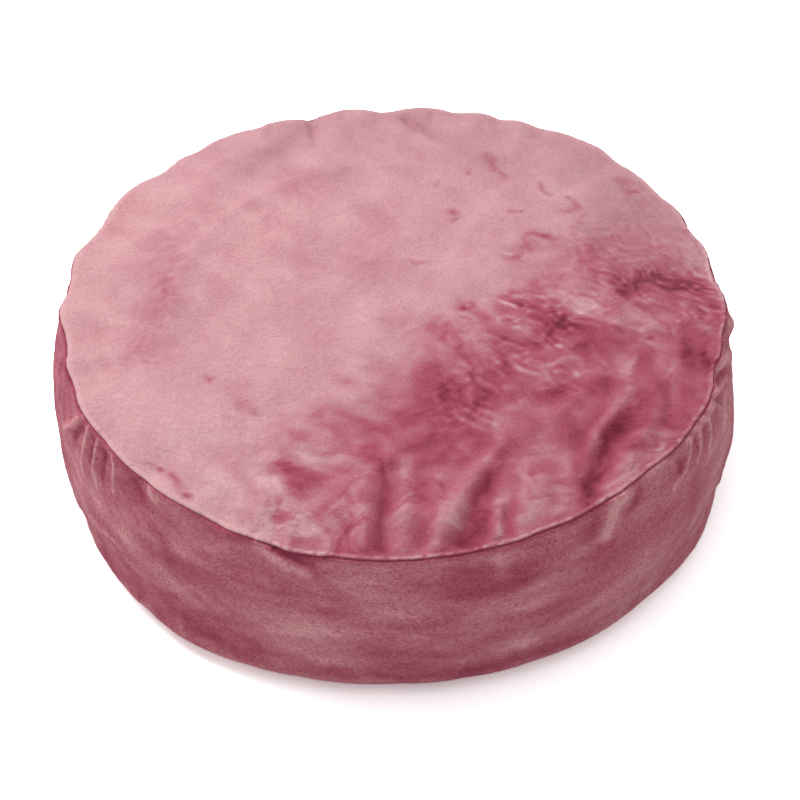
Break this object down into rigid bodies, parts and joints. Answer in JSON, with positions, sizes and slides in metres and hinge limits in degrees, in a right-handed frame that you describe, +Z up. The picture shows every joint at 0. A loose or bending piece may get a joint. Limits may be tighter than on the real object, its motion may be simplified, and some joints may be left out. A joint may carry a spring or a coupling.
{
  "type": "floor cushion",
  "caption": "Round plush floor cushion with a crowned top, an upright boxing band, a zipped rear and a filled inner pad.",
  "frame": {"origin": "centre of the flat foot, on the floor", "axes": "+Z up, square to the floor; -Y towards the front; the zip is centred on +Y at the rear"},
  "size_m": [0.7, 0.7001, 0.205],
  "materials": {
    "plush_cover": "short dusty-pink plush pile, light or dark with the lie of the nap",
    "sewing_thread": "matching polyester thread",
    "zip_tape": "woven polyester tape",
    "zip_coil": "moulded nylon coil",
    "zip_metal": "satin nickel plate",
    "label_satin": "blank woven satin",
    "liner_fabric": "plain woven calico",
    "polyester_fibre": "white crimped fibre"
  },
  "bodies": {
    "cushion": {"cover_top_panel": "plush_cover", "cover_bottom_panel": "plush_cover", "cover_band_front": "plush_cover", "cover_band_rear_upper": "plush_cover", "cover_band_rear_lower": "plush_cover", "cover_top_seam_thread": "sewing_thread", "cover_bottom_seam_thread": "sewing_thread", "band_join_thread_right": "sewing_thread", "band_join_thread_left": "sewing_thread", "care_label": "label_satin", "zip_tape_upper": "zip_tape", "zip_tape_lower": "zip_tape", "zip_coil_upper": "zip_coil", "zip_coil_lower": "zip_coil", "zip_bar_tack_closed": "sewing_thread", "zip_bar_tack_open": "sewing_thread", "zip_stitch_upper": "sewing_thread", "zip_stitch_lower": "sewing_thread", "liner_top_panel": "liner_fabric", "liner_side_band": "liner_fabric", "liner_bottom_panel": "liner_fabric", "liner_top_seam_thread": "sewing_thread", "liner_bottom_seam_thread": "sewing_thread", "liner_closing_thread": "sewing_thread", "fibre_filling": "polyester_fibre"},
    "zip_slider": {"zip_slider": "zip_metal"},
    "zip_pull": {"zip_pull": "zip_metal"}
  },
  "joints": [
    {"name": "zip_slide", "type": "hinge", "parent": "cushion", "child": "zip_slider", "pos_m": [0, 0, 0.09521], "axis": [0, 0, 1], "range_deg": [0, 128.5]},
    {"name": "zip_pull_pivot", "type": "hinge", "parent": "zip_slider", "child": "zip_pull", "pos_m": [0.31637, 0.15257, 0.09521], "axis": [0, 0, 1], "range_deg": [0, 175]}
  ]
}
